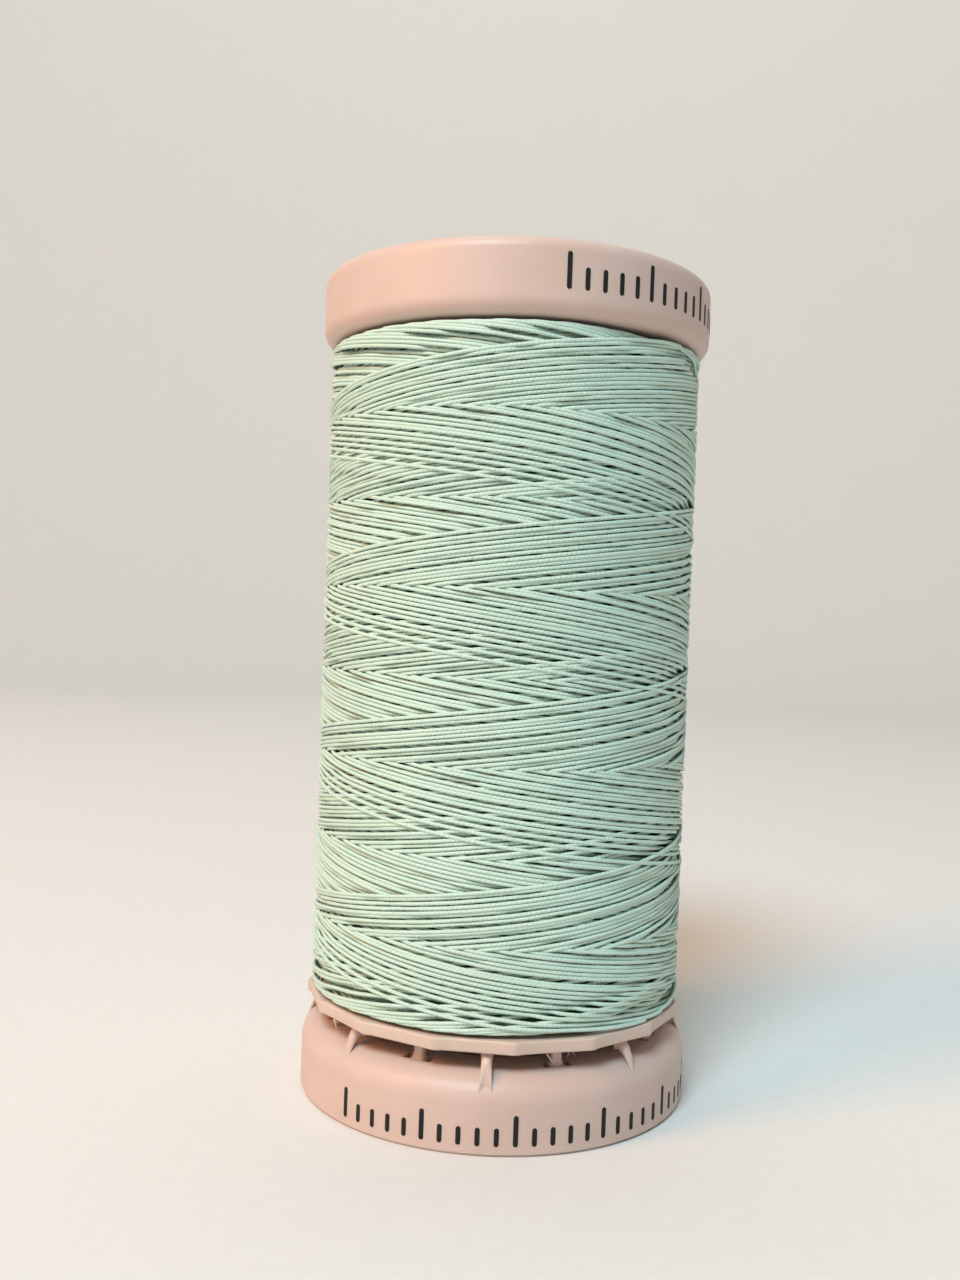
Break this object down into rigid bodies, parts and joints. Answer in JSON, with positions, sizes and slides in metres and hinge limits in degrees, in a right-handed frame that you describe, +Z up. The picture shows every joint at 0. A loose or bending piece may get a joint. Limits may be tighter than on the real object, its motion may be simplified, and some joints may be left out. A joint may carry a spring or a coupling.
{
  "type": "spool of thread",
  "caption": "Cross-wound sewing thread on a moulded plastic spool with a rounded end cap, a through bore and a pop-open lock ring at its base.",
  "frame": {"origin": "centre of the base face, where the spool stands on its lock ring", "axes": "+Z up along the spool's axis, -Y towards the viewer, +X to the right"},
  "size_m": [0.026, 0.026, 0.0541],
  "materials": {
    "moulded_plastic": "satin moulded, slightly translucent",
    "thread": "twisted cotton thread with a soft sheen",
    "printing_ink": "matt printed ink"
  },
  "bodies": {
    "spool_body": {"barrel": "moulded_plastic", "spindle_core": "moulded_plastic", "thread_flange": "moulded_plastic", "retaining_flange": "moulded_plastic", "thread_pack": "thread", "top_cap": "moulded_plastic", "lock_fin_1": "moulded_plastic", "lock_fin_2": "moulded_plastic", "lock_fin_3": "moulded_plastic", "lock_fin_4": "moulded_plastic", "lock_fin_5": "moulded_plastic", "lock_fin_6": "moulded_plastic", "lock_fin_7": "moulded_plastic", "lock_fin_8": "moulded_plastic", "lock_strut_1": "moulded_plastic", "lock_strut_2": "moulded_plastic", "lock_strut_3": "moulded_plastic", "lock_strut_4": "moulded_plastic", "lock_strut_5": "moulded_plastic", "lock_strut_6": "moulded_plastic", "lock_strut_7": "moulded_plastic", "lock_strut_8": "moulded_plastic"},
    "base_ring": {"lock_ring": "moulded_plastic"}
  },
  "joints": [
    {"name": "ring_lock", "type": "slide", "parent": "spool_body", "child": "base_ring", "axis": [0, 0, 1], "range_m": [0, 0.0011], "deforming": ["lock_fin_1", "lock_fin_2", "lock_fin_3", "lock_fin_4", "lock_fin_5", "lock_fin_6", "lock_fin_7", "lock_fin_8", "lock_strut_1", "lock_strut_2", "lock_strut_3", "lock_strut_4", "lock_strut_5", "lock_strut_6", "lock_strut_7", "lock_strut_8"]}
  ]
}
